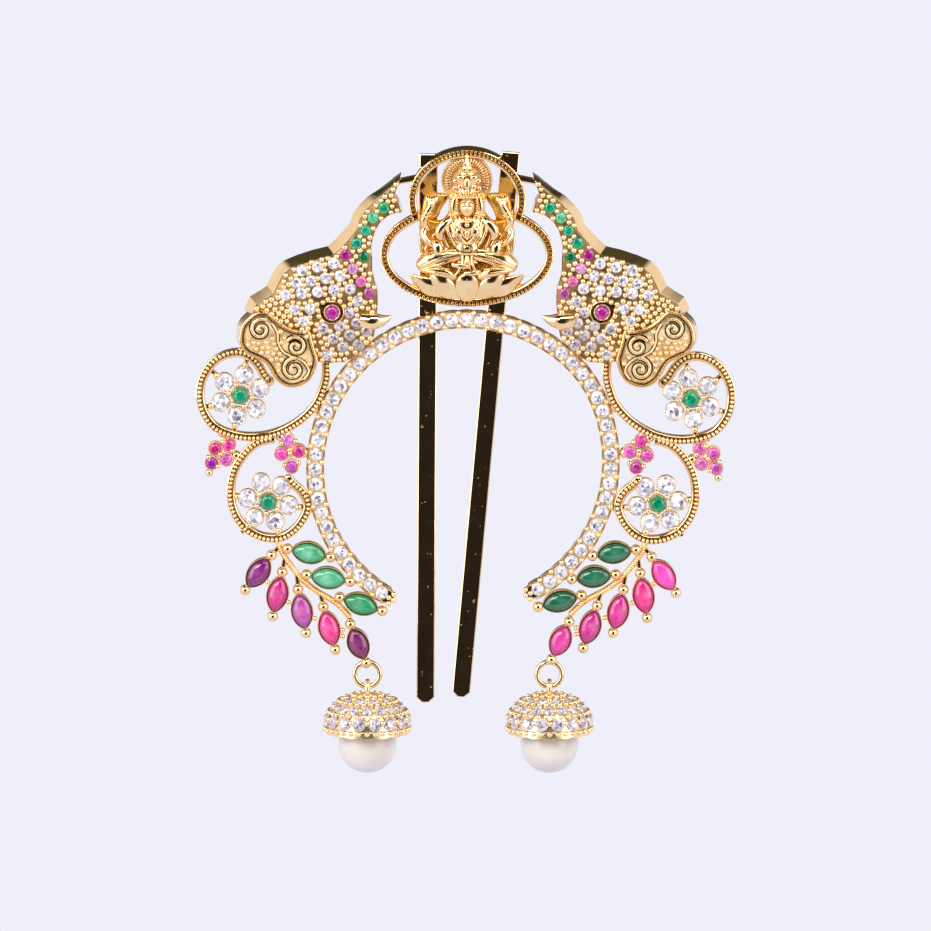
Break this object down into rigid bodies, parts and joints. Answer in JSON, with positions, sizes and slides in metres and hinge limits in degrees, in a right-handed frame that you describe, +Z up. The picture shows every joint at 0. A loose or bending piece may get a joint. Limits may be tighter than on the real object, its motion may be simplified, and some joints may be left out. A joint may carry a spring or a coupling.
{
  "type": "bun pin",
  "caption": "Two-pronged hair pin for a bun: a pierced gold horseshoe frame with elephant heads, scrolls, flowers and leaf sprays set with stones, and swinging pearl drops.",
  "frame": {"origin": "between the two prongs at the height of the horseshoe ring's inner edge, halfway through the prongs' thickness, where the pin sits in the hair", "axes": "+X to the right as seen from the front, +Y to the back, towards the hair, +Z up as worn"},
  "size_m": [0.0593, 0.0098, 0.0692],
  "materials": {
    "gold": "polished gold plating",
    "dark_gold": "mirror-polished",
    "white_stone": "cut and clear",
    "green_stone": "cut and polished",
    "pink_stone": "cut and polished",
    "magenta_stone": "cut and polished",
    "pearl": "pearl lustre"
  },
  "bodies": {
    "pin": {"frame": "gold", "left_prong": "dark_gold", "right_prong": "dark_gold", "ring_stones": "white_stone", "left_head_stones": "white_stone", "left_trunk_greens": "green_stone", "left_trunk_pinks": "pink_stone", "left_eye": "magenta_stone", "left_upper_flower_centre": "green_stone", "left_lower_flower_centre": "green_stone", "left_upper_flower_petals": "white_stone", "left_lower_flower_petals": "white_stone", "left_outer_cluster": "pink_stone", "left_inner_cluster": "pink_stone", "left_green_leaf_1": "green_stone", "left_green_leaf_2": "green_stone", "left_green_leaf_3": "green_stone", "left_red_leaf_1": "magenta_stone", "left_red_leaf_2": "magenta_stone", "left_red_leaf_3": "magenta_stone", "left_red_leaf_4": "magenta_stone", "left_red_leaf_5": "magenta_stone", "right_head_stones": "white_stone", "right_trunk_greens": "green_stone", "right_trunk_pinks": "pink_stone", "right_eye": "magenta_stone", "right_upper_flower_centre": "green_stone", "right_lower_flower_centre": "green_stone", "right_upper_flower_petals": "white_stone", "right_lower_flower_petals": "white_stone", "right_outer_cluster": "pink_stone", "right_inner_cluster": "pink_stone", "right_green_leaf_1": "green_stone", "right_green_leaf_2": "green_stone", "right_green_leaf_3": "green_stone", "right_red_leaf_1": "magenta_stone", "right_red_leaf_2": "magenta_stone", "right_red_leaf_3": "magenta_stone", "right_red_leaf_4": "magenta_stone", "right_red_leaf_5": "magenta_stone"},
    "left_drop": {"left_cap": "gold", "left_cap_stones": "white_stone", "left_pearl": "pearl"},
    "right_drop": {"right_cap": "gold", "right_cap_stones": "white_stone", "right_pearl": "pearl"}
  },
  "joints": [
    {"name": "left_drop_swing", "type": "hinge", "parent": "pin", "child": "left_drop", "pos_m": [-0.011, -0.0013, -0.0397], "axis": [1, 0, 0], "range_deg": [-60, 60]},
    {"name": "right_drop_swing", "type": "hinge", "parent": "pin", "child": "right_drop", "pos_m": [0.0091, -0.0013, -0.0397], "axis": [1, 0, 0], "range_deg": [-60, 60]}
  ]
}
